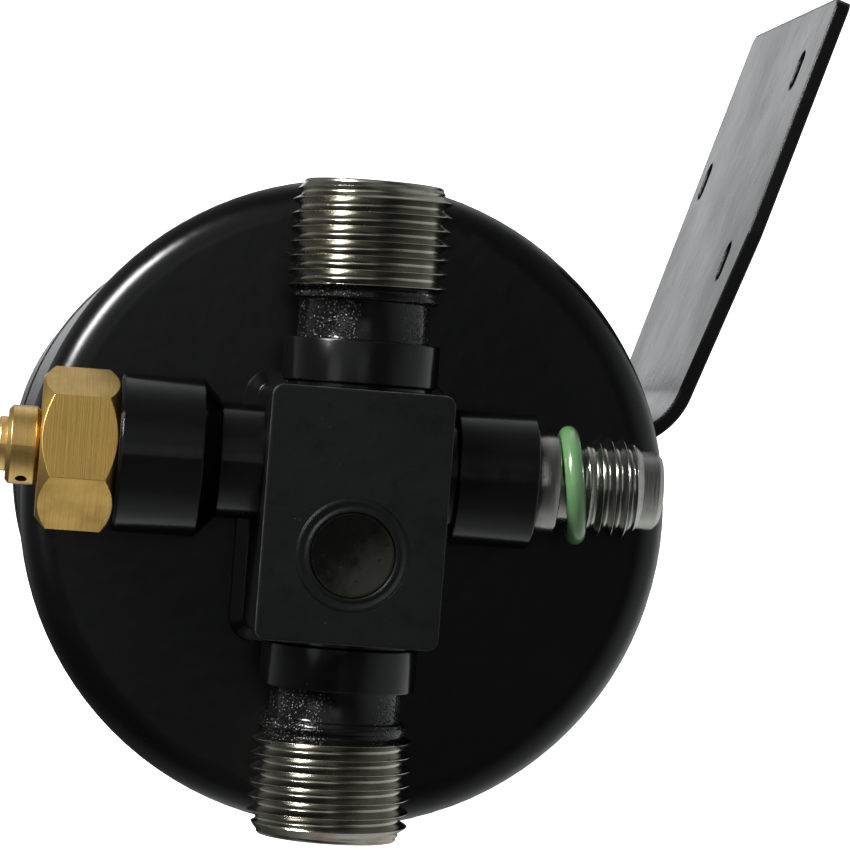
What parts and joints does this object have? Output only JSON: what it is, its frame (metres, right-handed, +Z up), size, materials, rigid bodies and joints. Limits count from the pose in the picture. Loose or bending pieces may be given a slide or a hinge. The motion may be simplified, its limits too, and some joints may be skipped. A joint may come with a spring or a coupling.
{
  "type": "receiver drier",
  "caption": "Upright steel refrigerant receiver-drier: round canister, head block with opposed male ports, relief valve, switch port, sight glass and side bracket.",
  "frame": {"origin": "centre of the canister's flat base, on the canister's axis", "axes": "+Z up the canister to the header block, +X towards the switch port, +Y towards the inlet port, -X towards the relief valve"},
  "size_m": [0.0862, 0.0904, 0.258],
  "materials": {
    "black_paint": "satin-gloss black enamel over steel",
    "bare_steel": "bare turned steel with a thin brownish oil film",
    "brass": "turned brass with fine machining lines",
    "black_rubber": "black rubber",
    "green_rubber": "green HNBR rubber",
    "spring_steel": "bright spring wire",
    "red_seal": "red PTFE-coated seal",
    "glass": "clear glass",
    "ring_steel": "dull steel ring",
    "plated_steel": "plain sheet and tube",
    "felt": "felt pad",
    "desiccant": "packed desiccant beads"
  },
  "bodies": {
    "canister": {"lower_shell": "black_paint", "upper_shell": "black_paint", "girth_weld": "black_paint", "header_block": "black_paint", "block_weld": "black_paint", "inlet_fitting": "bare_steel", "outlet_fitting": "bare_steel", "relief_boss": "black_paint", "relief_body": "brass", "relief_oring": "black_rubber", "relief_spring": "spring_steel", "relief_cap": "brass", "relief_end_plug": "brass", "switch_boss": "black_paint", "switch_adapter": "bare_steel", "switch_oring": "green_rubber", "core_barrel": "brass", "core_gasket": "red_seal", "core_spring": "spring_steel", "sight_glass": "glass", "sight_ring": "ring_steel", "sight_seal": "black_rubber", "pickup_tube": "plated_steel", "tube_strainer": "plated_steel", "lower_plate": "plated_steel", "lower_pad": "felt", "desiccant_bed": "desiccant", "upper_pad": "felt", "upper_plate": "plated_steel", "bed_spring": "spring_steel", "mount_bracket": "black_paint", "bracket_weld_top": "black_paint", "bracket_weld_bottom": "black_paint"},
    "relief_piston": {"relief_poppet": "brass", "relief_seal": "black_rubber"},
    "core_plunger": {"core_pin": "spring_steel", "core_washer": "black_rubber"}
  },
  "joints": [
    {"name": "relief_lift", "type": "slide", "parent": "canister", "child": "relief_piston", "axis": [-1, 0, 0], "range_m": [0, 0.0012], "stiffness_N_per_m": 8000, "springref_m": -0.0015, "deforming": ["relief_spring"]},
    {"name": "core_press", "type": "slide", "parent": "canister", "child": "core_plunger", "axis": [-1, 0, 0], "range_m": [0, 0.001], "stiffness_N_per_m": 1500, "springref_m": -0.0005, "deforming": ["core_spring"]}
  ]
}
